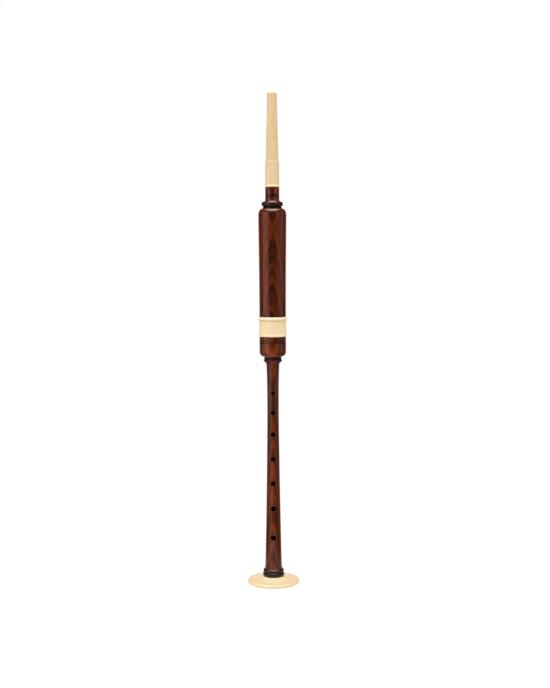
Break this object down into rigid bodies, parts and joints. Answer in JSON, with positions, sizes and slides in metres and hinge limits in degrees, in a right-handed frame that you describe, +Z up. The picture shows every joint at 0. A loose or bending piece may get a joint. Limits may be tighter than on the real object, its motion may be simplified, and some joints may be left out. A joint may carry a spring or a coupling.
{
  "type": "practice chanter",
  "caption": "Turned wooden practice chanter standing on a round sole, with finger holes, ferruled barrel, tapered mouthpiece and an inner double reed.",
  "frame": {"origin": "centre of the sole's flat underside", "axes": "+Z up along the common axis of the turned pieces, towards the mouthpiece; the seven front finger holes face -Y"},
  "size_m": [0.0524, 0.0524, 0.4917],
  "materials": {
    "imitation_ivory": "polished cream imitation ivory",
    "mouthpiece_ivory": "satin tan imitation ivory",
    "lower_wood": "oiled and polished reddish brown hardwood",
    "upper_wood": "oiled and polished dark reddish brown hardwood",
    "hemp_thread": "waxed hemp thread",
    "reed_plastic": "moulded plastic",
    "reed_blades": "thin moulded plastic",
    "band_rubber": "matt black rubber"
  },
  "bodies": {
    "chanter": {"chanter_body": "lower_wood", "sole": "imitation_ivory", "tenon_hemp": "hemp_thread"},
    "top": {"top_section": "upper_wood", "barrel_ferrule": "imitation_ivory", "mouthpiece_ferrule": "mouthpiece_ivory"},
    "mouthpiece": {"mouthpiece": "mouthpiece_ivory", "mouthpiece_hemp": "hemp_thread"},
    "reed": {"reed_body": "reed_plastic", "reed_blade_front": "reed_blades", "reed_blade_back": "reed_blades", "reed_band": "band_rubber", "reed_thread": "hemp_thread"}
  },
  "joints": [
    {"name": "top_pull", "type": "slide", "parent": "chanter", "child": "top", "axis": [0, 0, 1], "range_m": [0, 0.08]},
    {"name": "mouthpiece_pull", "type": "slide", "parent": "top", "child": "mouthpiece", "axis": [0, 0, 1], "range_m": [0, 0.024]},
    {"name": "reed_pull", "type": "slide", "parent": "chanter", "child": "reed", "axis": [0, 0, 1], "range_m": [0, 0.014]}
  ]
}
